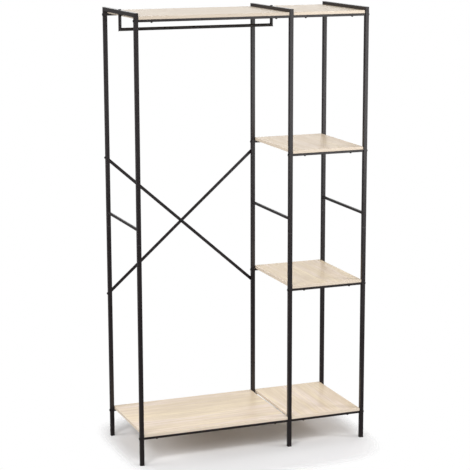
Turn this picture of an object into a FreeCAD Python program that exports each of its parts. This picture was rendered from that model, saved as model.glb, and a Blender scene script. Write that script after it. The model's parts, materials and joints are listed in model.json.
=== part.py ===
import FreeCAD, Part
import math
import os

# An open-front wardrobe of square tube frames, thin rails and boards.
# Millimetres. X runs from left to right, Y from front to rear, Z upwards.
# The origin is on the floor, in the middle of the whole object's width and depth.

# The wardrobe as a whole
overall_height = 1800.0
wide_bay = 640.0            # left posts to middle posts, centre to centre
narrow_bay = 328.0          # middle posts to right posts, centre to centre
frame_depth = 405.0         # front posts to rear posts, centre to centre

# Posts and top rails, one square tube
post_size = 16.0
post_wall = 1.0
post_corner = 1.5
lower_post_length = 900.0
seam_chamfer = 0.4

# Sleeves that join the lower posts to the upper posts
sleeve_length = 80.0
sleeve_wall = 1.5
sleeve_clearance = 0.1
sleeve_corner = 1.0

# Foot caps
cap_flange = 2.0
cap_overhang = 0.5
cap_corner = 2.0
cap_plug_length = 15.0
cap_plug_wall = 1.5
cap_plug_corner = 1.0
cap_plug_clearance = 0.1
cap_edge = 0.5

# Side rungs
rung_diameter = 12.7
rung_wall = 1.0
rung_above_seam = 58.0

# Shelf rails and the threaded plugs in their ends
rail_size = 10.0
rail_wall = 1.0
rail_corner = 1.0
plug_length = 15.0
plug_corner = 0.4

# Boards
board_thickness = 12.0
board_side_gap = 1.0
board_edge = 0.8
bottom_shelf_height = 117.0     # floor to the board's underside
shelf_pitch = 554.0             # from each of the lower shelves to the next one up
top_shelf_drop = 25.0           # frame's top to the top boards' undersides

# Board screws, driven from beneath
screw_inset = 55.0              # post's face to the screw
screw_diameter = 3.5
screw_head_diameter = 8.0
screw_head_height = 3.2
screw_head_round = 2.0
screw_depth = 9.0               # how far the screw goes into the board
screw_recess_length = 4.2
screw_recess_width = 0.9
screw_recess_depth = 1.3
screw_clearance = 0.3

# Frame bolts, with low domed heads and hexagon sockets
bolt_diameter = 5.0
bolt_head_diameter = 11.5
bolt_head_height = 3.3
bolt_head_round = 2.4
bolt_socket_flats = 3.0
bolt_socket_depth = 1.6
bolt_engagement = 12.0          # how far a bolt goes into its plug
bolt_clearance = 0.25
thread_clearance = 0.05
nut_flats = 8.0
nut_height = 4.0
nut_edge = 0.5

# Clothes rail
clothes_diameter = 12.7
clothes_wall = 1.0
clothes_drop = 76.0             # frame's top to the bar's axis

# Cross brace behind the wide bay, two flat strips
brace_width = 13.0
brace_thickness = 1.5
brace_rise = 564.0              # height between a strip's two end holes
brace_end_length = 12.0         # end hole to the strip's end
brace_corner = 5.0
brace_contact_gap = 0.2         # between the two strips where they cross
brace_bolt_tip = 1.5

# Overrun of the cutting bodies past the faces that they cut
overrun = 1.0

# Places of the frames and levels, worked out from the sizes above
post_half = post_size / 2
rail_half = rail_size / 2
post_bore = post_size - 2 * post_wall
cap_size = post_size + 2 * cap_overhang
brace_step = brace_thickness + brace_contact_gap
brace_tail = post_half + brace_step + brace_thickness + nut_height + brace_bolt_tip
total_depth = cap_size / 2 + frame_depth + brace_tail

left_x = -(wide_bay + narrow_bay) / 2
middle_x = left_x + wide_bay
right_x = middle_x + narrow_bay
front_y = cap_size / 2 - total_depth / 2
rear_y = front_y + frame_depth
centre_y = (front_y + rear_y) / 2

post_foot = cap_flange
seam_z = post_foot + lower_post_length
rung_z = seam_z + rung_above_seam
clothes_z = overall_height - clothes_drop
brace_low_z = seam_z - brace_rise / 2
brace_high_z = seam_z + brace_rise / 2
shelf_heights = {
    "bottom": bottom_shelf_height,
    "lower": bottom_shelf_height + shelf_pitch,
    "upper": bottom_shelf_height + 2 * shelf_pitch,
    "top": overall_height - top_shelf_drop,
}

frames = {"left": left_x, "middle": middle_x, "right": right_x}
rows = {"front": front_y, "rear": rear_y}
bays = {"wide": ("left", "middle"), "narrow": ("middle", "right")}
shelves = [
    ("wide", "bottom"),
    ("wide", "top"),
    ("narrow", "bottom"),
    ("narrow", "lower"),
    ("narrow", "upper"),
    ("narrow", "top"),
]

along_x = FreeCAD.Vector(1, 0, 0)
along_y = FreeCAD.Vector(0, 1, 0)
along_z = FreeCAD.Vector(0, 0, 1)
centre = FreeCAD.Vector(0, 0, 0)


# Basic shapes

def rounded_square(size, corner):
    """A square face with rounded corners, centred on the Z axis."""
    half = size / 2
    flat = half - corner
    turn = corner * math.sin(math.radians(45))
    edges = []
    for quarter in range(4):
        angle = quarter * 90
        points = [
            FreeCAD.Vector(half, -flat, 0),
            FreeCAD.Vector(half, flat, 0),
            FreeCAD.Vector(flat + turn, flat + turn, 0),
            FreeCAD.Vector(flat, half, 0),
        ]
        spin = FreeCAD.Rotation(along_z, angle)
        start, end, bend, stop = [spin.multVec(point) for point in points]
        edges.append(Part.LineSegment(start, end).toShape())
        edges.append(Part.Arc(end, bend, stop).toShape())
    return Part.Face(Part.Wire(edges))


def square_bar(size, corner, length):
    return rounded_square(size, corner).extrude(along_z * length)


def square_tube(size, wall, corner, length):
    """An upright square tube that stands on the origin, open at both ends."""
    outside = square_bar(size, corner, length)
    inner_corner = max(corner - wall, wall / 4)
    inside = square_bar(size - 2 * wall, inner_corner, length + 2 * overrun)
    inside.translate(along_z * -overrun)
    return outside.cut(inside)


def round_tube(diameter, wall, length):
    outside = Part.makeCylinder(diameter / 2, length)
    inside = Part.makeCylinder(diameter / 2 - wall, length + 2 * overrun)
    inside.translate(along_z * -overrun)
    return outside.cut(inside)


def hexagon_bar(flats, length):
    radius = flats / math.sqrt(3)
    corners = []
    for side in range(7):
        angle = math.radians(60 * side)
        corners.append(FreeCAD.Vector(radius * math.cos(angle), radius * math.sin(angle), 0))
    return Part.Face(Part.makePolygon(corners)).extrude(along_z * length)


def point_along(shape, direction):
    """Turn an upright shape so that its Z axis points along the direction."""
    turned = shape.copy()
    turn = FreeCAD.Rotation(along_z, direction)
    turned.transformShape(FreeCAD.Placement(centre, turn).toMatrix(), True)
    return turned


def moved(shape, x, y, z):
    placed = shape.copy()
    placed.translate(FreeCAD.Vector(x, y, z))
    return placed


def drill(shape, diameter, start, direction, depth):
    """A round hole from the start point, with the overrun at both of its ends."""
    lead = direction * overrun
    tool = Part.makeCylinder(diameter / 2, depth + 2 * overrun, start - lead, direction)
    return shape.cut(tool)


def wedge_x(points, low_x, high_x):
    """A prism along X over the given (y, z) points."""
    corners = [FreeCAD.Vector(low_x, y, z) for y, z in points]
    corners.append(corners[0])
    return Part.Face(Part.makePolygon(corners)).extrude(along_x * (high_x - low_x))


def wedge_y(points, low_y, high_y):
    """A prism along Y over the given (x, z) points."""
    corners = [FreeCAD.Vector(x, low_y, z) for x, z in points]
    corners.append(corners[0])
    return Part.Face(Part.makePolygon(corners)).extrude(along_y * (high_y - low_y))


# Fasteners, each made once with its head's underside at the origin and its shank towards +Z

def domed_head(diameter, height, rounding):
    """A low head with its underside on the origin and its dome towards -Z."""
    head = Part.makeCylinder(diameter / 2, height)
    for edge in head.Edges:
        box = edge.BoundBox
        if box.ZMin > height / 2 and box.XLength > diameter / 2:
            head = head.makeFillet(rounding, [edge])
            break
    return head.mirror(centre, along_z)


def domed_bolt(shank_length):
    head = domed_head(bolt_head_diameter, bolt_head_height, bolt_head_round)
    socket = hexagon_bar(bolt_socket_flats, bolt_socket_depth + overrun)
    head = head.cut(moved(socket, 0, 0, -bolt_head_height - overrun))
    return head.fuse(Part.makeCylinder(bolt_diameter / 2, shank_length)).removeSplitter()


def board_screw():
    head = domed_head(screw_head_diameter, screw_head_height, screw_head_round)
    for length_x, length_y in (
        (screw_recess_length, screw_recess_width),
        (screw_recess_width, screw_recess_length),
    ):
        slot = Part.makeBox(length_x, length_y, screw_recess_depth + overrun)
        head = head.cut(moved(slot, -length_x / 2, -length_y / 2, -screw_head_height - overrun))
    tip_length = screw_diameter / 2
    body_length = rail_size + screw_depth - tip_length
    body = Part.makeCylinder(screw_diameter / 2, body_length)
    tip = Part.makeCone(screw_diameter / 2, 0, tip_length, along_z * body_length)
    return head.fuse(body).fuse(tip).removeSplitter()


def hexagon_nut():
    nut = hexagon_bar(nut_flats, nut_height)
    cone_low = nut_flats / 2 - nut_edge / 4
    cone = Part.makeCone(cone_low, cone_low + nut_height, nut_height)
    nut = nut.common(cone)
    bore = Part.makeCylinder(bolt_diameter / 2 + thread_clearance, nut_height + 2 * overrun)
    return nut.cut(moved(bore, 0, 0, -overrun))


def stud():
    length = post_size + 2 * bolt_engagement
    return Part.makeCylinder(bolt_diameter / 2, length)


bolt_hole = bolt_diameter + 2 * bolt_clearance
thread_hole = bolt_diameter + 2 * thread_clearance
screw_hole = screw_diameter + 2 * screw_clearance
screw_pilot = screw_diameter + 2 * thread_clearance


# Side frames

def rail_levels(frame):
    """The heights of the shelf rails' centres on one frame."""
    levels = set()
    for bay, level in shelves:
        if frame in bays[bay]:
            levels.add(shelf_heights[level] - rail_half)
    return sorted(levels)


def drill_post(post, frame, row, low_z, high_z):
    """The holes for the rail bolts, and for the brace bolts in the rear wall."""
    x = frames[frame]
    y = rows[row]
    for z in rail_levels(frame):
        if low_z < z < high_z:
            start = FreeCAD.Vector(x - post_half, y, z)
            post = drill(post, bolt_hole, start, along_x, post_size)
    if row == "rear" and frame in bays["wide"]:
        for z in (brace_low_z, brace_high_z):
            if low_z < z < high_z:
                start = FreeCAD.Vector(x, y + post_half - post_wall, z)
                post = drill(post, bolt_hole, start, along_y, post_wall)
    return post


def chamfer_end(post, z):
    """A fine chamfer round the outside of a post's end, which shows as the seam."""
    rim = []
    for edge in post.Edges:
        box = edge.BoundBox
        level = abs(box.ZMin - z) < seam_chamfer / 10 and abs(box.ZMax - z) < seam_chamfer / 10
        outside = max(abs(box.Center.x), abs(box.Center.y)) > post_half - post_wall / 2
        if level and outside:
            rim.append(edge)
    return post.makeChamfer(seam_chamfer, rim)


def lower_post(frame, row):
    post = square_tube(post_size, post_wall, post_corner, lower_post_length)
    post = chamfer_end(post, lower_post_length)
    post = moved(post, frames[frame], rows[row], post_foot)
    return drill_post(post, frame, row, post_foot, seam_z)


def upper_post(frame, row):
    length = overall_height - seam_z
    post = square_tube(post_size, post_wall, post_corner, length)
    post = chamfer_end(post, 0)
    post = moved(post, frames[frame], rows[row], seam_z)
    inward = 1 if row == "front" else -1
    outer_y = rows[row] - inward * post_half
    inner_y = rows[row] + inward * post_half
    corner = [
        (outer_y, overall_height),
        (inner_y + inward * overrun, overall_height - post_size - overrun),
        (inner_y + inward * overrun, overall_height + overrun),
        (outer_y, overall_height + overrun),
    ]
    side = post_half + overrun
    post = post.cut(wedge_x(corner, frames[frame] - side, frames[frame] + side))
    return drill_post(post, frame, row, seam_z, overall_height)


def top_rail(frame):
    length = frame_depth + post_size
    rail = point_along(square_tube(post_size, post_wall, post_corner, length), along_y)
    rail = moved(rail, frames[frame], front_y - post_half, overall_height - post_half)
    side = post_half + overrun
    low_z = overall_height - post_size - overrun
    for row in rows:
        inward = 1 if row == "front" else -1
        outer_y = rows[row] - inward * post_half
        corner = [
            (outer_y - inward * overrun, overall_height + overrun),
            (outer_y - inward * overrun, low_z),
            (outer_y + inward * (post_size + overrun), low_z),
        ]
        rail = rail.cut(wedge_x(corner, frames[frame] - side, frames[frame] + side))
    if frame in bays["wide"]:
        start = FreeCAD.Vector(frames[frame], centre_y, overall_height - post_size)
        rail = drill(rail, bolt_hole, start, along_z, post_size)
    return rail


def side_rung(frame):
    length = frame_depth - post_size
    rung = point_along(round_tube(rung_diameter, rung_wall, length), along_y)
    return moved(rung, frames[frame], front_y + post_half, rung_z)


def post_sleeve(frame, row):
    size = post_bore - 2 * sleeve_clearance
    sleeve = square_tube(size, sleeve_wall, sleeve_corner, sleeve_length)
    return moved(sleeve, frames[frame], rows[row], seam_z - sleeve_length / 2)


def foot_cap(frame, row):
    flange = square_bar(cap_size, cap_corner, cap_flange)
    rim = [edge for edge in flange.Edges if edge.BoundBox.ZMax < cap_flange / 2]
    flange = flange.makeChamfer(cap_edge, rim)
    plug_size = post_bore - 2 * cap_plug_clearance
    plug = square_tube(plug_size, cap_plug_wall, cap_plug_corner, cap_plug_length)
    cap = flange.fuse(moved(plug, 0, 0, cap_flange)).removeSplitter()
    return moved(cap, frames[frame], rows[row], 0)


# Shelves

def bay_span(bay):
    """The inner faces of the posts on both sides of a bay."""
    left, right = bays[bay]
    return frames[left] + post_half, frames[right] - post_half


def screw_places(bay):
    low_x, high_x = bay_span(bay)
    return (low_x + screw_inset, high_x - screw_inset)


def shelf_rail(bay, level, row):
    low_x, high_x = bay_span(bay)
    underside = shelf_heights[level]
    rail = point_along(square_tube(rail_size, rail_wall, rail_corner, high_x - low_x), along_x)
    rail = moved(rail, low_x, rows[row], underside - rail_half)
    for x in screw_places(bay):
        start = FreeCAD.Vector(x, rows[row], underside - rail_size)
        rail = drill(rail, screw_hole, start, along_z, rail_size)
    return rail


def rail_plugs(bay, level, row):
    low_x, high_x = bay_span(bay)
    size = rail_size - 2 * rail_wall
    plug = point_along(square_bar(size, plug_corner, plug_length), along_x)
    plug = drill(plug, thread_hole, centre, along_x, plug_length)
    z = shelf_heights[level] - rail_half
    return [
        moved(plug, low_x, rows[row], z),
        moved(plug, high_x - plug_length, rows[row], z),
    ]


def shelf_board(bay, level):
    low_x, high_x = bay_span(bay)
    width = high_x - low_x - 2 * board_side_gap
    depth = frame_depth + rail_size
    board = Part.makeBox(width, depth, board_thickness)
    board = board.makeFillet(board_edge, board.Edges)
    board = moved(board, low_x + board_side_gap, front_y - rail_half, shelf_heights[level])
    for x in screw_places(bay):
        for y in rows.values():
            start = FreeCAD.Vector(x, y, shelf_heights[level] - overrun)
            pilot = Part.makeCylinder(screw_pilot / 2, overrun + screw_depth, start, along_z)
            board = board.cut(pilot)
    return board


def shelf_screws():
    screw = board_screw()
    placed = []
    for bay, level in shelves:
        for x in screw_places(bay):
            for y in rows.values():
                placed.append(moved(screw, x, y, shelf_heights[level] - rail_size))
    return placed


def level_centres(bay):
    return [shelf_heights[level] - rail_half for shelf_bay, level in shelves if shelf_bay == bay]


def rail_bolts():
    """Bolts through the outer posts, and through the middle posts where only one bay has a shelf."""
    bolt = domed_bolt(post_size + bolt_engagement)
    from_left = point_along(bolt, along_x)
    from_right = point_along(bolt, along_x * -1)
    placed = []
    for y in rows.values():
        for z in level_centres("wide"):
            placed.append(moved(from_left, left_x - post_half, y, z))
        for z in level_centres("narrow"):
            placed.append(moved(from_right, right_x + post_half, y, z))
            if z not in level_centres("wide"):
                placed.append(moved(from_left, middle_x - post_half, y, z))
    return placed


def rail_studs():
    """Headless studs through the middle posts, where rails of both bays meet."""
    one = point_along(stud(), along_x)
    placed = []
    for y in rows.values():
        for z in level_centres("wide"):
            placed.append(moved(one, middle_x - post_half - bolt_engagement, y, z))
    return placed


# Clothes rail

def clothes_bar():
    radius = clothes_diameter / 2
    bar = point_along(round_tube(clothes_diameter, clothes_wall, wide_bay + clothes_diameter), along_x)
    bar = moved(bar, left_x - radius, centre_y, clothes_z)
    reach = radius + overrun
    for x, inward in ((left_x, 1), (middle_x, -1)):
        corner = [
            (x - inward * reach, clothes_z - reach),
            (x + inward * reach, clothes_z + reach),
            (x - inward * reach, clothes_z + reach),
        ]
        bar = bar.cut(wedge_y(corner, centre_y - reach, centre_y + reach))
    return bar


def clothes_upright(frame):
    radius = clothes_diameter / 2
    foot_z = clothes_z - radius
    length = overall_height - post_size - foot_z
    upright = moved(round_tube(clothes_diameter, clothes_wall, length), frames[frame], centre_y, foot_z)
    reach = radius + overrun
    inward = 1 if frame == "left" else -1
    x = frames[frame]
    corner = [
        (x - inward * reach, clothes_z - reach),
        (x + inward * reach, clothes_z + reach),
        (x + inward * reach, clothes_z - reach),
    ]
    return upright.cut(wedge_y(corner, centre_y - reach, centre_y + reach))


def clothes_plugs():
    bore_radius = clothes_diameter / 2 - clothes_wall
    plug = Part.makeCylinder(bore_radius, plug_length)
    plug = drill(plug, thread_hole, centre, along_z, plug_length)
    z = overall_height - post_size - plug_length
    return [moved(plug, frames[frame], centre_y, z) for frame in bays["wide"]]


def clothes_bolts():
    bolt = point_along(domed_bolt(post_size + bolt_engagement), along_z * -1)
    return [moved(bolt, frames[frame], centre_y, overall_height) for frame in bays["wide"]]


# Cross brace

brace_length = math.hypot(wide_bay, brace_rise)
brace_slope = math.atan2(brace_rise, wide_bay)
brace_y = rear_y + post_half                    # the rear faces of the rear posts
brace_half = brace_width / 2
seat_reach = (post_half + brace_half * math.sin(brace_slope)) / math.cos(brace_slope)
crossing_angle = 2 * brace_slope
crossing_reach = brace_half * (1 + abs(math.cos(crossing_angle))) / math.sin(crossing_angle)
crossing_x = left_x + wide_bay / 2
crossing_z = seam_z


def brace_strip(step):
    """A strip along X with its first hole on the origin, flexed to the rear by the step halfway."""
    middle = brace_length / 2
    front = [
        (-brace_end_length, 0),
        (seat_reach, 0),
        (middle - crossing_reach, step),
        (middle + crossing_reach, step),
        (brace_length - seat_reach, 0),
        (brace_length + brace_end_length, 0),
    ]
    rear = [(x, y + brace_thickness) for x, y in reversed(front)]
    points = [FreeCAD.Vector(x, y, -brace_half) for x, y in front + rear]
    points.append(points[0])
    strip = Part.Face(Part.makePolygon(points)).extrude(along_z * brace_width).removeSplitter()
    corners = []
    for edge in strip.Edges:
        box = edge.BoundBox
        if box.YLength > brace_thickness / 2 and box.XLength < brace_thickness:
            corners.append(edge)
    strip = strip.makeFillet(brace_corner, corners)
    for x, y in ((0, 0), (middle, step), (brace_length, 0)):
        strip = drill(strip, bolt_hole, FreeCAD.Vector(x, y, 0), along_y, brace_thickness)
    return strip


def falling_brace():
    """From the left post's upper hole down to the middle post's lower hole, in front."""
    brace = brace_strip(0)
    brace.rotate(centre, along_y, math.degrees(brace_slope))
    return moved(brace, left_x, brace_y, brace_high_z)


def rising_brace():
    """From the left post's lower hole up to the middle post's upper hole, behind the other."""
    brace = brace_strip(brace_step)
    brace.rotate(centre, along_y, -math.degrees(brace_slope))
    return moved(brace, left_x, brace_y, brace_low_z)


def brace_places():
    return [(frames[frame], z) for frame in bays["wide"] for z in (brace_low_z, brace_high_z)]


def brace_bolts():
    length = brace_thickness + post_wall + nut_height + brace_bolt_tip
    bolt = point_along(domed_bolt(length), along_y * -1)
    return [moved(bolt, x, brace_y + brace_thickness, z) for x, z in brace_places()]


def brace_nuts():
    nut = point_along(hexagon_nut(), along_y)
    return [moved(nut, x, brace_y - post_wall - nut_height, z) for x, z in brace_places()]


def centre_bolt():
    length = brace_step + brace_thickness + nut_height + brace_bolt_tip
    bolt = point_along(domed_bolt(length), along_y)
    return moved(bolt, crossing_x, brace_y, crossing_z)


def centre_nut():
    nut = point_along(hexagon_nut(), along_y)
    return moved(nut, crossing_x, brace_y + brace_step + brace_thickness, crossing_z)


# All nodes

def build_nodes():
    nodes = {}
    for frame in frames:
        nodes[f"top_rail_{frame}"] = top_rail(frame)
        nodes[f"side_rung_{frame}"] = side_rung(frame)
        for row in rows:
            nodes[f"upper_post_{frame}_{row}"] = upper_post(frame, row)
            nodes[f"lower_post_{frame}_{row}"] = lower_post(frame, row)
            nodes[f"foot_cap_{frame}_{row}"] = foot_cap(frame, row)
    plugs = []
    for bay, level in shelves:
        nodes[f"board_{bay}_{level}"] = shelf_board(bay, level)
        for row in rows:
            nodes[f"shelf_rail_{bay}_{level}_{row}"] = shelf_rail(bay, level, row)
            plugs += rail_plugs(bay, level, row)
    nodes["rail_end_plugs"] = Part.makeCompound(plugs)
    sleeves = [post_sleeve(frame, row) for frame in frames for row in rows]
    nodes["post_sleeves"] = Part.makeCompound(sleeves)
    nodes["rail_bolts"] = Part.makeCompound(rail_bolts())
    nodes["rail_studs"] = Part.makeCompound(rail_studs())
    nodes["board_screws"] = Part.makeCompound(shelf_screws())
    nodes["clothes_bar"] = clothes_bar()
    for frame in bays["wide"]:
        nodes[f"clothes_upright_{frame}"] = clothes_upright(frame)
    nodes["clothes_upright_plugs"] = Part.makeCompound(clothes_plugs())
    nodes["clothes_rail_bolts"] = Part.makeCompound(clothes_bolts())
    nodes["brace_falling"] = falling_brace()
    nodes["brace_rising"] = rising_brace()
    nodes["brace_end_bolts"] = Part.makeCompound(brace_bolts())
    nodes["brace_weld_nuts"] = Part.makeCompound(brace_nuts())
    nodes["brace_centre_bolt"] = centre_bolt()
    nodes["brace_centre_nut"] = centre_nut()
    return nodes


os.makedirs("parts", exist_ok=True)
for name, shape in build_nodes().items():
    shape.exportStep(f"parts/{name}.step")
    print(name, len(shape.Solids), "solids", round(shape.Volume), "cubic mm", shape.isValid())
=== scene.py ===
import json
import math

import bpy
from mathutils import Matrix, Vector


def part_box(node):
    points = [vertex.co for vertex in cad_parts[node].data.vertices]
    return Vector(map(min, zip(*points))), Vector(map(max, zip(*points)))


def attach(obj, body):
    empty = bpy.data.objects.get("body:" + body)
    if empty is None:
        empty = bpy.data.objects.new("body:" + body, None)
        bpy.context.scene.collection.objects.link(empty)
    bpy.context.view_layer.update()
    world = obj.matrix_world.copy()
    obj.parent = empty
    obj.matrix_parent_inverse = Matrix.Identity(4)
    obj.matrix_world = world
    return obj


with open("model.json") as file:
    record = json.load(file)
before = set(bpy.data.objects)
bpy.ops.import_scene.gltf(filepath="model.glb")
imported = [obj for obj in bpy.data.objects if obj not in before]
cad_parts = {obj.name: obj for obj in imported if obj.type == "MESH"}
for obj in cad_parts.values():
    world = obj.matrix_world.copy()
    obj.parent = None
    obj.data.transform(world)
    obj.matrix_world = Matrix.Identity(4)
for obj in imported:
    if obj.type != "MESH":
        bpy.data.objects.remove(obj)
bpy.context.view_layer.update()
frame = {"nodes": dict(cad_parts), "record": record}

# Open-front wardrobe: black square tube frames, a clothes rail, a cross brace
# and light wood-look shelves. Metres, +X to the right, +Y to the rear, +Z up.

slotOf = {part["node"]: part["material_slot"] for part in frame["record"]["subparts"]}


# Small helpers for objects

def deselectAll():
    bpy.ops.object.select_all(action="DESELECT")


def enterEdit():
    bpy.ops.object.mode_set(mode="EDIT")


def leaveEdit():
    bpy.ops.object.mode_set(mode="OBJECT")


def applyPlace():
    bpy.ops.object.transform_apply(location=True, rotation=True, scale=True)


def selectPoints(piece, wanted):
    # leaves the piece in edit mode, with only the wanted points selected
    enterEdit()
    bpy.ops.mesh.select_mode(type="VERT")
    bpy.ops.mesh.select_all(action="DESELECT")
    leaveEdit()
    for vertex in piece.data.vertices:
        vertex.select = wanted(vertex.co)
    enterEdit()


def middleOf(node):
    low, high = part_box(node)
    return Vector([(low[axis] + high[axis]) / 2 for axis in range(3)])


def finishPiece(piece, name, material):
    piece.name = name
    piece.data.name = name
    piece.data.materials.clear()
    piece.data.materials.append(material)
    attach(piece, "root")


# Small helpers for materials

def newMaterial(name):
    material = bpy.data.materials.new(name)
    material.use_nodes = True
    material.node_tree.nodes.clear()
    return material


def addNode(material, kind, settings=None, sockets=None):
    # the node's own settings, then its input sockets by name
    node = material.node_tree.nodes.new(kind)
    for name, value in (settings or {}).items():
        setattr(node, name, value)
    for name, value in (sockets or {}).items():
        node.inputs[name].default_value = value
    return node


def join(material, output, socket):
    material.node_tree.links.new(output, socket)


def plug(material, value, socket):
    # a value is another node's output, a number or a colour
    if hasattr(value, "is_output"):
        join(material, value, socket)
    elif isinstance(value, tuple) and len(value) == 3 and socket.type == "RGBA":
        socket.default_value = (*value, 1.0)
    else:
        socket.default_value = value


def addShader(material, sockets):
    shader = addNode(material, "ShaderNodeBsdfPrincipled", sockets=sockets)
    output = addNode(material, "ShaderNodeOutputMaterial")
    join(material, shader.outputs["BSDF"], output.inputs["Surface"])
    return shader


def objectPlace(material):
    return addNode(material, "ShaderNodeTexCoord").outputs["Object"]


def addMath(material, operation, first, second=0.0):
    node = addNode(material, "ShaderNodeMath", {"operation": operation})
    plug(material, first, node.inputs[0])
    plug(material, second, node.inputs[1])
    return node.outputs[0]


def addMapping(material, place, location=(0, 0, 0), turn=0.0, scale=(1, 1, 1)):
    sockets = {"Location": location, "Rotation": (0.0, 0.0, math.radians(turn)), "Scale": scale}
    node = addNode(material, "ShaderNodeMapping", sockets=sockets)
    join(material, place, node.inputs["Vector"])
    return node.outputs["Vector"]


def splitVector(material, vector):
    node = addNode(material, "ShaderNodeSeparateXYZ")
    join(material, vector, node.inputs["Vector"])
    return node.outputs["X"], node.outputs["Y"], node.outputs["Z"]


def addNoise(material, place, scale, detail, rough=0.5):
    sockets = {"Scale": scale, "Detail": detail, "Roughness": rough}
    noise = addNode(material, "ShaderNodeTexNoise", sockets=sockets)
    join(material, place, noise.inputs["Vector"])
    return noise.outputs["Fac"]


def addRange(material, value, fromLow, fromHigh, toLow, toHigh, kind="LINEAR"):
    # the value's span is carried to another span, and never leaves it
    sockets = {"From Min": fromLow, "From Max": fromHigh, "To Min": toLow, "To Max": toHigh}
    ranger = addNode(material, "ShaderNodeMapRange", {"interpolation_type": kind}, sockets)
    join(material, value, ranger.inputs["Value"])
    return ranger.outputs["Result"]


# a mix node's sockets share their names, so they go by number: first, second and result
mixSockets = {"RGBA": (6, 7, 2), "VECTOR": (4, 5, 1)}


def addMix(material, kind, factor, first, second):
    firstSocket, secondSocket, result = mixSockets[kind]
    mix = addNode(material, "ShaderNodeMix", {"data_type": kind})
    plug(material, factor, mix.inputs["Factor"])
    plug(material, first, mix.inputs[firstSocket])
    plug(material, second, mix.inputs[secondSocket])
    return mix.outputs[result]


def addMixColour(material, factor, first, second):
    return addMix(material, "RGBA", factor, first, second)


def addMixVector(material, factor, first, second):
    return addMix(material, "VECTOR", factor, first, second)


def addBump(material, shader, height, distance, before=None):
    # before is the normal of a finer bump; without a shader this one goes on to the next
    bump = addNode(material, "ShaderNodeBump", sockets={"Distance": distance})
    join(material, height, bump.inputs["Height"])
    if before:
        join(material, before, bump.inputs["Normal"])
    if shader:
        join(material, bump.outputs["Normal"], shader.inputs["Normal"])
    return bump.outputs["Normal"]


# Black powder coat on every tube

powderCoat = {
    "colour": (0.0135, 0.0090, 0.0098),
    "paleColour": (0.0175, 0.0122, 0.0130),
    "cloudScale": 9.0,                     # soft clouds of film thickness, per metre
    "cloudDetail": 3.0,
    "cloudFrom": (0.35, 0.65),             # span of the cloud noise that the colour follows
    "peelScale": 430.0,                    # orange peel, about 2 mm across
    "peelDetail": 1.0,
    "peelHeight": 0.000006,
    "grainScale": 2600.0,                  # powder grain
    "grainDetail": 1.0,
    "grainHeight": 0.000002,
    "roughFrom": (0.3, 0.7),               # span of the grain noise that the roughness follows
    "roughLow": 0.28,
    "roughHigh": 0.34,
    "gloss": 0.5,
    "seamHighlightColour": (0.16, 0.155, 0.155),    # painted highlight, a pale band where the posts' chamfered ends catch light
    "seamHighlightReach": 0.0006,                   # how far up and down from the seam the painted highlight reaches
}


def makePowderCoat(name, seam=None):
    # seam is the height of the posts' seam, on a piece that has one; a painted highlight is laid round it
    material = newMaterial(name)
    shader = addShader(material, {"Specular IOR Level": powderCoat["gloss"]})
    place = objectPlace(material)
    clouds = addNoise(material, place, powderCoat["cloudScale"], powderCoat["cloudDetail"])
    peel = addNoise(material, place, powderCoat["peelScale"], powderCoat["peelDetail"])
    grain = addNoise(material, place, powderCoat["grainScale"], powderCoat["grainDetail"])
    cloudFrom, cloudTo = powderCoat["cloudFrom"]
    cloudy = addRange(material, clouds, cloudFrom, cloudTo, 0.0, 1.0)
    colour = addMixColour(material, cloudy, powderCoat["colour"], powderCoat["paleColour"])
    # painted highlight: a pale band round the seam, where the chamfered tube ends catch light
    if seam:
        _, _, height = splitVector(material, place)
        fromSeam = addMath(material, "SUBTRACT", height, seam)
        reach = powderCoat["seamHighlightReach"]
        onSeamHighlight = addRange(material, addMath(material, "ABSOLUTE", fromSeam), reach / 2, reach, 1.0, 0.0)
        colour = addMixColour(material, onSeamHighlight, colour, powderCoat["seamHighlightColour"])
    join(material, colour, shader.inputs["Base Color"])
    roughFrom, roughTo = powderCoat["roughFrom"]
    rough = addRange(material, grain, roughFrom, roughTo, powderCoat["roughLow"], powderCoat["roughHigh"])
    join(material, rough, shader.inputs["Roughness"])
    grained = addBump(material, None, grain, powderCoat["grainHeight"])
    addBump(material, shader, peel, powderCoat["peelHeight"], grained)
    return material


# Wood-look boards with pale edge bands

woodBoard = {
    "gloss": 0.45,
    "roughLow": 0.34,
    "roughHigh": 0.44,
    "roughFrom": (0.3, 0.7),               # span of the streak noise that the roughness follows
    "paleColour": (0.975, 0.83, 0.60),
    "rosyColour": (0.925, 0.78, 0.69),
    "midColour": (0.765, 0.62, 0.44),
    "darkColour": (0.60, 0.46, 0.31),
    "bandColour": (0.93, 0.80, 0.65),
    "bandStreakColour": (0.86, 0.72, 0.57),
    "bandPaintedShades": {"board_wide_top": 0.87},    # painted shade, darkening a board's edge bands where less light falls on them; 1 where none is named
    "glueColour": (0.66, 0.53, 0.39),
    "poreDepth": 0.000015,
    "fibreDepth": 0.000006,
    "bandWidth": 0.0007,                   # the edge band's thickness, seen on the flat faces
    "glueWidth": 0.0003,
    "arris": 0.0008,                       # radius of the board's rounded edges
    "endTurn": 90.0,                       # degrees, from grain along X, on the bands of the ends
    "facing": (0.6, 0.8),                  # how squarely a face looks along an axis to count as facing it
    "noiseMiddle": 0.5,                    # the noise's usual value
}

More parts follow.
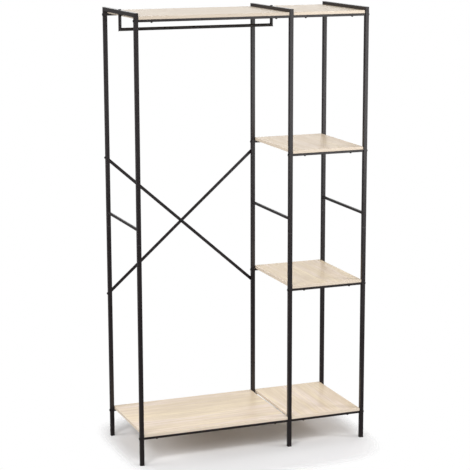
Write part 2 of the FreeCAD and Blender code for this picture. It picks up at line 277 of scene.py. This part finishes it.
# noise layers, stretched along the grain; a mask rises from 0 where the noise is low
# to most where it is high
woodLayers = {
    "tint": {"scale": (1.5, 30.0, 30.0), "detail": 2.0, "rough": 0.5,
             "low": 0.42, "high": 0.58, "most": 1.0},      # yellower and rosier bands
    "broad": {"scale": (2.0, 20.0, 20.0), "detail": 4.0, "rough": 0.55,
              "low": 0.38, "high": 0.64, "most": 0.8},      # broad tone bands
    "streak": {"scale": (5.5, 165.0, 165.0), "detail": 3.0, "rough": 0.6,
               "low": 0.42, "high": 0.64, "most": 0.9},      # streaks, about 6 mm apart
    "fibre": {"scale": (14.0, 620.0, 620.0), "detail": 2.0, "rough": 0.6,
              "low": 0.42, "high": 0.66, "most": 0.45},     # fine fibres
    "pore": {"scale": (42.0, 1500.0, 1500.0), "detail": 1.0, "rough": 0.5,
             "low": 0.61, "high": 0.74, "most": 0.5},      # short dark pores
}


def grainLayer(material, grainPlace, name, strength):
    # the layer's noise and its mask; a strength below 1 draws the mask toward its usual value
    layer = woodLayers[name]
    stretched = addMapping(material, grainPlace, scale=layer["scale"])
    noise = addNoise(material, stretched, scale=1.0, detail=layer["detail"], rough=layer["rough"])
    low, high, most = layer["low"], layer["high"], layer["most"]
    usual = max(0.0, (woodBoard["noiseMiddle"] - low) / (high - low)) * most
    least = usual * (1.0 - strength)
    return noise, addRange(material, noise, low, high, least, least + most * strength)


def facingAxis(material, share):
    # 1 on a face that looks along the axis, from the share of its normal on that axis
    low, high = woodBoard["facing"]
    return addRange(material, addMath(material, "ABSOLUTE", share), low, high, 0.0, 1.0)


def edgeDistance(material, place, node):
    # how far a point on a flat face lies from the nearest side of the board
    low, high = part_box(node)
    centred = addMapping(material, place, location=tuple(-value for value in middleOf(node)))
    x, y, _ = splitVector(material, centred)
    fromX = addMath(material, "SUBTRACT", (high[0] - low[0]) / 2, addMath(material, "ABSOLUTE", x))
    fromY = addMath(material, "SUBTRACT", (high[1] - low[1]) / 2, addMath(material, "ABSOLUTE", y))
    return addMath(material, "MINIMUM", fromX, fromY)


def makeWoodBoard(node, grainTurn, slide, strength):
    # the grain runs along X, turned round Z by grainTurn degrees
    material = newMaterial("wood_" + node)
    shader = addShader(material, {"Specular IOR Level": woodBoard["gloss"]})
    coordinates = addNode(material, "ShaderNodeTexCoord")
    place = coordinates.outputs["Object"]
    shareX, _, shareZ = splitVector(material, coordinates.outputs["Normal"])
    onFlat = facingAxis(material, shareZ)
    onEnd = facingAxis(material, shareX)

    flatPlace = addMapping(material, place, location=slide, turn=grainTurn)
    endPlace = addMapping(material, place, location=slide, turn=woodBoard["endTurn"])
    frontPlace = addMapping(material, place, location=slide)
    sidePlace = addMixVector(material, onEnd, frontPlace, endPlace)
    grainPlace = addMixVector(material, onFlat, sidePlace, flatPlace)

    _, tintMask = grainLayer(material, grainPlace, "tint", strength)
    _, broadMask = grainLayer(material, grainPlace, "broad", strength)
    streaks, streakMask = grainLayer(material, grainPlace, "streak", strength)
    fibres, fibreMask = grainLayer(material, grainPlace, "fibre", strength)
    _, poreMask = grainLayer(material, grainPlace, "pore", strength)

    face = addMixColour(material, tintMask, woodBoard["paleColour"], woodBoard["rosyColour"])
    face = addMixColour(material, broadMask, face, woodBoard["midColour"])
    face = addMixColour(material, streakMask, face, woodBoard["midColour"])
    face = addMixColour(material, fibreMask, face, woodBoard["darkColour"])
    face = addMixColour(material, poreMask, face, woodBoard["darkColour"])
    # painted shade: a named board's edge bands are darkened, standing in for less light falling on them
    shade = woodBoard["bandPaintedShades"].get(node, 1.0)
    bandColour = tuple(shade * channel for channel in woodBoard["bandColour"])
    bandStreakColour = tuple(shade * channel for channel in woodBoard["bandStreakColour"])
    band = addMixColour(material, streakMask, bandColour, bandStreakColour)

    inset = edgeDistance(material, place, node)
    bandEnd = woodBoard["arris"] + woodBoard["bandWidth"]
    glueWidth = woodBoard["glueWidth"]
    onGlue = addRange(material, inset, bandEnd, bandEnd + glueWidth, 1.0, 0.0, "SMOOTHSTEP")
    onBand = addRange(material, inset, bandEnd - glueWidth, bandEnd, 1.0, 0.0, "SMOOTHSTEP")
    colour = addMixColour(material, onGlue, face, woodBoard["glueColour"])
    colour = addMixColour(material, onBand, colour, band)
    colour = addMixColour(material, onFlat, band, colour)
    join(material, colour, shader.inputs["Base Color"])

    roughFrom, roughTo = woodBoard["roughFrom"]
    rough = addRange(material, streaks, roughFrom, roughTo, woodBoard["roughLow"], woodBoard["roughHigh"])
    join(material, rough, shader.inputs["Roughness"])
    fine = addBump(material, None, fibres, woodBoard["fibreDepth"])
    addBump(material, shader, poreMask, -woodBoard["poreDepth"], fine)
    return material


# Foot caps, fasteners and inner fittings

plainFinishes = {
    "black_plastic": {"colour": (0.014, 0.0135, 0.0135), "metal": 0.0, "rough": 0.55,
                      "grainScale": 1400.0, "grainHeight": 0.00004},
    "black_bolts": {"colour": (0.016, 0.0155, 0.016), "metal": 0.35, "rough": 0.34,
                    "grainScale": 900.0, "grainHeight": 0.00002},
    "black_screws": {"colour": (0.014, 0.013, 0.013), "metal": 0.35, "rough": 0.42,
                     "grainScale": 1100.0, "grainHeight": 0.00002},
    "zinc_fittings": {"colour": (0.55, 0.56, 0.58), "metal": 1.0, "rough": 0.35,
                      "grainScale": 700.0, "grainHeight": 0.00002},
}

# what the plain finishes share
speckleSettings = {
    "detail": 2.0,
    "darkest": 0.7,             # the darkest speckle's share of the colour
    "roughFrom": (0.3, 0.7),    # span of the speckle noise that the roughness follows
    "roughSpread": 0.06,        # how far the roughness goes up and down
}


def makePlainFinish(name, finish):
    material = newMaterial(name)
    shader = addShader(material, {"Metallic": finish["metal"]})
    place = objectPlace(material)
    speckle = addNoise(material, place, finish["grainScale"], speckleSettings["detail"])
    darker = tuple(speckleSettings["darkest"] * channel for channel in finish["colour"])
    colour = addMixColour(material, speckle, finish["colour"], darker)
    join(material, colour, shader.inputs["Base Color"])
    roughFrom, roughTo = speckleSettings["roughFrom"]
    roughLow = finish["rough"] - speckleSettings["roughSpread"]
    roughHigh = finish["rough"] + speckleSettings["roughSpread"]
    rough = addRange(material, speckle, roughFrom, roughTo, roughLow, roughHigh)
    join(material, rough, shader.inputs["Roughness"])
    addBump(material, shader, speckle, finish["grainHeight"])
    return material


finishes = {name: makePlainFinish(name, finish) for name, finish in plainFinishes.items()}
finishes["black_powder_coat"] = makePowderCoat("blackPowderCoat")
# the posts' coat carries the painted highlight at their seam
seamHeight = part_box("upper_post_left_front")[0][2]
postCoat = makePowderCoat("blackPowderCoatPosts", seamHeight)

boardGrain = {
    # the upper and top boards' grain is painted fainter, standing in for the sheen that veils them at a
    # glancing view
    "strengths": {"bottom": 1.0, "lower": 1.0, "upper": 0.6, "top": 0.5},
    "turns": {"wide": 0.0, "narrow": 90.0},      # degrees, from grain along X
    "slide": (0.73, 0.31, 0.17),                 # metres between one board's pattern and the next
}


def coatCadNodes():
    boards = 0
    for name, node in frame["nodes"].items():
        if slotOf[name] == "wood_look_board":
            boards += 1
            bay, level = name.split("_")[1:]
            slide = tuple(boards * step for step in boardGrain["slide"])
            strength = boardGrain["strengths"][level]
            material = makeWoodBoard(name, boardGrain["turns"][bay], slide, strength)
        elif "_post_" in name:
            material = postCoat
        else:
            material = finishes[slotOf[name]]
        node.data.materials.clear()
        node.data.materials.append(material)
    print("coated", len(frame["nodes"]), "nodes,", boards, "of them boards")


# Weld beads, under the powder coat

weldFinish = {
    "slot": "black_powder_coat",
    "smoothAngle": 50.0,     # degrees, folds up to this are shaded smooth
}

rungWeld = {
    "bead": 0.0010,          # radius of the bead
    "sink": 0.0004,          # how far the bead reaches into the post's face
    "ringSteps": 66,
    "beadSteps": 10,
    "rippleEvery": 3,        # one section of the ring in this many swells
    "ripple": 0.00016,       # how far it swells
}

railWeld = {
    "lean": 45.0,            # degrees, of the joint from level
    "bead": 0.0007,
    "ringSteps": 66,
    "beadSteps": 8,
    "rippleEvery": 3,
    "ripple": 0.0001,
}

cornerWeld = {
    "bead": 0.0012,          # radius of the bead
    "step": 0.0008,          # length of one ripple
    "swell": 1.14,           # a ripple's thick place against its thin one
    "endShare": 0.5,         # the bead's thickness at its two ends against the rest
    "length": 0.0136,
    "roundSteps": 12,
}


def finishWeld(weld, name):
    bpy.ops.object.shade_smooth_by_angle(angle=math.radians(weldFinish["smoothAngle"]))
    finishPiece(weld, name, finishes[weldFinish["slot"]])


def rippleRing(weld, settings, centre, across):
    # swells sections of the ring, evenly spread; across holds the ring plane's two axes
    stepAngle = 2 * math.pi / settings["ringSteps"]

    def onRipple(point):
        arm = point - centre
        angle = math.atan2(arm.dot(across[1]), arm.dot(across[0]))
        return round(angle / stepAngle) % settings["rippleEvery"] == 0

    selectPoints(weld, onRipple)
    bpy.ops.transform.shrink_fatten(value=settings["ripple"])
    leaveEdit()


def makeRungWeld(rung, row):
    # a bead round the rung's end, cut off flat just inside the post's face
    low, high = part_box(rung)
    centre = middleOf(rung)
    towardPost = -1.0 if row == "front" else 1.0
    centre.y = low[1] if row == "front" else high[1]
    deselectAll()
    bpy.ops.mesh.primitive_torus_add(
        location=centre,
        rotation=(math.radians(90), 0.0, 0.0),
        major_segments=rungWeld["ringSteps"],
        minor_segments=rungWeld["beadSteps"],
        major_radius=(high[2] - low[2]) / 2,
        minor_radius=rungWeld["bead"],
    )
    weld = bpy.context.object
    applyPlace()
    rippleRing(weld, rungWeld, centre, (Vector((1, 0, 0)), Vector((0, 0, 1))))
    enterEdit()
    bpy.ops.mesh.select_all(action="SELECT")
    bpy.ops.mesh.bisect(
        plane_co=centre + Vector((0.0, towardPost * rungWeld["sink"], 0.0)),
        plane_no=(0.0, towardPost, 0.0),
        use_fill=True,
        clear_outer=True,
    )
    leaveEdit()
    finishWeld(weld, f"{rung}_weld_{row}")


def makeRailWeld(side):
    # the mitred corner of the clothes rail, a bead round the slanted joint
    upright = middleOf(f"clothes_upright_{side}")
    low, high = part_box("clothes_bar")
    centre = Vector((upright.x, upright.y, (low[2] + high[2]) / 2))
    lean = math.radians(railWeld["lean"])
    stretch = 1 / math.cos(lean)
    turn = lean if side == "left" else -lean
    deselectAll()
    bpy.ops.mesh.primitive_torus_add(
        location=centre,
        major_segments=railWeld["ringSteps"],
        minor_segments=railWeld["beadSteps"],
        major_radius=(high[2] - low[2]) / 2,
        minor_radius=railWeld["bead"],
    )
    weld = bpy.context.object
    applyPlace()
    rippleRing(weld, railWeld, centre, (Vector((1, 0, 0)), Vector((0, 1, 0))))
    enterEdit()
    bpy.ops.mesh.select_all(action="SELECT")
    bpy.ops.transform.resize(value=(stretch, 1.0, 1.0), center_override=centre)
    bpy.ops.transform.rotate(value=turn, orient_axis="Y", center_override=centre)
    leaveEdit()
    finishWeld(weld, f"clothes_rail_weld_{side}")


def makeCornerWeld(side, row):
    # a short bead in the inner corner of a side frame, laid from left to right
    rail = middleOf(f"top_rail_{side}")
    _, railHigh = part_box(f"top_rail_{side}")
    postLow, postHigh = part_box(f"upper_post_{side}_{row}")
    inner = postHigh[1] if row == "front" else postLow[1]
    underside = railHigh[2] - (postHigh[0] - postLow[0])
    steps = round(cornerWeld["length"] / cornerWeld["step"])
    start = Vector((rail.x - cornerWeld["length"] / 2, inner, underside))
    deselectAll()
    bpy.ops.mesh.primitive_circle_add(
        location=start,
        rotation=(0.0, math.radians(90), 0.0),
        vertices=cornerWeld["roundSteps"],
        radius=cornerWeld["bead"] * cornerWeld["endShare"],
        fill_type="NGON",
    )
    weld = bpy.context.object
    applyPlace()
    enterEdit()
    bpy.ops.mesh.select_all(action="SELECT")
    here = start.copy()
    for step in range(steps):
        here.x += cornerWeld["step"]
        if step == 0:
            grow = 1 / cornerWeld["endShare"]
        elif step == steps - 1:
            grow = cornerWeld["endShare"]
        else:
            grow = cornerWeld["swell"] if step % 2 else 1 / cornerWeld["swell"]
        bpy.ops.mesh.extrude_region_move(TRANSFORM_OT_translate={"value": (cornerWeld["step"], 0.0, 0.0)})
        bpy.ops.transform.resize(value=(1.0, grow, grow), center_override=here)
    bpy.ops.mesh.select_all(action="SELECT")
    bpy.ops.mesh.normals_make_consistent(inside=False)
    leaveEdit()
    finishWeld(weld, f"frame_weld_{side}_{row}")


def makeWelds():
    for side in ("left", "middle", "right"):
        for row in ("front", "rear"):
            makeRungWeld(f"side_rung_{side}", row)
            makeCornerWeld(side, row)
    for side in ("left", "middle"):
        makeRailWeld(side)
    print("laid the weld beads")


# Floor, lights and camera

floorSettings = {
    "radius": 1.4,
    "segments": 96,
    "colour": (0.79, 0.785, 0.79),
    "roughness": 0.7,
    "fadeMiddle": (0.0, -0.02),    # the fade to the white backdrop is a rounded rectangle
    "fadeReach": (0.56, 0.49),     # where it ends, to the sides and to the front and rear
    "fadePower": 4.0,              # of the distance, a higher one makes the corners sharper
    "fadeStart": 0.40,             # of the distance to that power
    "fadeEnd": 1.0,
}

lightSettings = {
    "skyForCamera": 1.0,           # strength of the white backdrop that the camera sees
    "skyForObject": 0.205,         # and of the sky that lights the object
    "target": (0.0, 0.0, 0.8),     # where every softbox points
    # azimuth in degrees from the front, positive to the right; metres and watts
    "softboxes": {
        "keyRight": {"azimuth": 60, "elevation": 26, "distance": 5.0, "size": 1.25, "power": 98},
        "keyHigh": {"azimuth": 25, "elevation": 40, "distance": 5.0, "size": 1.25, "power": 18.7},
        "keyLow": {"azimuth": 40, "elevation": -2, "distance": 5.0, "size": 1.25, "power": 25},
        "keyNear": {"azimuth": 24, "elevation": 15, "distance": 2.3, "size": 1.1, "power": 7.0},
        "fillLeft": {"azimuth": -50, "elevation": 34, "distance": 5.0, "size": 1.25, "power": 64},
        "fillFront": {"azimuth": -35, "elevation": 26, "distance": 5.0, "size": 1.25, "power": 24},
        "sideRight": {"azimuth": 95, "elevation": 10, "distance": 7.0, "size": 2.8, "power": 102},
        "rearRight": {"azimuth": 120, "elevation": 35, "distance": 7.0, "size": 2.8, "power": 74},
        "sideLeft": {"azimuth": -97, "elevation": 22, "distance": 7.0, "size": 2.8, "power": 138},
        "sideLow": {"azimuth": -98, "elevation": 3, "distance": 2.2, "size": 0.8, "power": 8.5},
        "backdropLow": {"azimuth": 163, "elevation": 8, "distance": 7.0, "size": 3.2, "power": 7.5},
        "backdropHigh": {"azimuth": 163.5, "elevation": 23, "distance": 7.0, "size": 3.2, "power": 41},
        "backdropRight": {"azimuth": 144, "elevation": 8, "distance": 7.0, "size": 3.2, "power": 5},
        "backdropMiddle": {"azimuth": 180, "elevation": 22, "distance": 7.0, "size": 3.2, "power": 13},
    },
}

cameraSettings = {
    "fromPost": (-1.89106, -5.91393, 2.21288),    # metres, from the foot of the left front post
    "azimuth": -21.189,                           # degrees round Z
    "elevation": 11.5909,                         # degrees, looking down
    "roll": -0.1366,                              # degrees round the line of sight
    "lens": 124.52,                               # mm
    "sensor": 36.0,                               # mm, the sensor's width
    "near": 0.1,                                  # metres, the span that the camera sees
    "far": 60.0,
}


def makeFloor():
    deselectAll()
    bpy.ops.mesh.primitive_circle_add(
        vertices=floorSettings["segments"], radius=floorSettings["radius"], fill_type="NGON"
    )
    floor = bpy.context.object
    floor.name = "studioFloor"
    material = newMaterial("studioFloor")
    sockets = {"Color": (*floorSettings["colour"], 1.0), "Roughness": floorSettings["roughness"]}
    diffuse = addNode(material, "ShaderNodeBsdfDiffuse", sockets=sockets)
    clear = addNode(material, "ShaderNodeBsdfTransparent")
    middleX, middleY = floorSettings["fadeMiddle"]
    reachX, reachY = floorSettings["fadeReach"]
    centred = addMapping(material, objectPlace(material), location=(-middleX, -middleY, 0.0))
    shared = addMapping(material, centred, scale=(1 / reachX, 1 / reachY, 1.0))
    shareX, shareY, _ = splitVector(material, shared)
    power = floorSettings["fadePower"]
    farX = addMath(material, "POWER", addMath(material, "ABSOLUTE", shareX), power)
    farY = addMath(material, "POWER", addMath(material, "ABSOLUTE", shareY), power)
    far = addMath(material, "ADD", farX, farY)
    fadeStart, fadeEnd = floorSettings["fadeStart"], floorSettings["fadeEnd"]
    fade = addRange(material, far, fadeStart, fadeEnd, 0.0, 1.0, "SMOOTHSTEP")
    mix = addNode(material, "ShaderNodeMixShader")
    join(material, fade, mix.inputs["Fac"])
    # the mix's two shaders share a name, so they go by number
    join(material, diffuse.outputs["BSDF"], mix.inputs[1])
    join(material, clear.outputs["BSDF"], mix.inputs[2])
    output = addNode(material, "ShaderNodeOutputMaterial")
    join(material, mix.outputs["Shader"], output.inputs["Surface"])
    floor.data.materials.append(material)
    floor.visible_glossy = False    # keeps the feet and lowest rails dark


def makeSky():
    # the helpers for materials make a world's nodes too
    world = bpy.data.worlds.new("studioSky")
    world.use_nodes = True
    world.node_tree.nodes.clear()
    bpy.context.scene.world = world
    seen = addNode(world, "ShaderNodeLightPath").outputs["Is Camera Ray"]
    strength = addRange(world, seen, 0.0, 1.0, lightSettings["skyForObject"], lightSettings["skyForCamera"])
    background = addNode(world, "ShaderNodeBackground", sockets={"Color": (1.0, 1.0, 1.0, 1.0)})
    join(world, strength, background.inputs["Strength"])
    output = addNode(world, "ShaderNodeOutputWorld")
    join(world, background.outputs["Background"], output.inputs["Surface"])


def makeSoftboxes():
    target = Vector(lightSettings["target"])
    for name, box in lightSettings["softboxes"].items():
        around = math.radians(box["azimuth"])
        rise = math.radians(box["elevation"])
        flat = math.cos(rise)
        away = Vector((math.sin(around) * flat, -math.cos(around) * flat, math.sin(rise)))
        deselectAll()
        bpy.ops.object.light_add(type="AREA", location=target + box["distance"] * away)
        light = bpy.context.object
        light.name = name
        light.data.shape = "SQUARE"
        light.data.size = box["size"]
        light.data.energy = box["power"]
        light.visible_camera = False
        light.rotation_euler = (-away).to_track_quat("-Z", "Y").to_euler()


def makeCamera():
    foot = middleOf("lower_post_left_front")
    foot.z = 0.0
    bpy.ops.object.camera_add(location=foot + Vector(cameraSettings["fromPost"]))
    camera = bpy.context.object
    camera.name = "studioCamera"
    tilt = math.radians(90.0 - cameraSettings["elevation"])
    camera.rotation_euler = (tilt, 0.0, math.radians(cameraSettings["azimuth"]))
    camera.rotation_euler.rotate_axis("Z", math.radians(cameraSettings["roll"]))
    camera.data.sensor_width = cameraSettings["sensor"]
    camera.data.lens = cameraSettings["lens"]
    camera.data.clip_start = cameraSettings["near"]
    camera.data.clip_end = cameraSettings["far"]
    bpy.context.scene.camera = camera
    bpy.context.scene.view_settings.view_transform = "Standard"


coatCadNodes()
makeWelds()
makeFloor()
makeSky()
makeSoftboxes()
makeCamera()
print("set the floor, lights and camera")
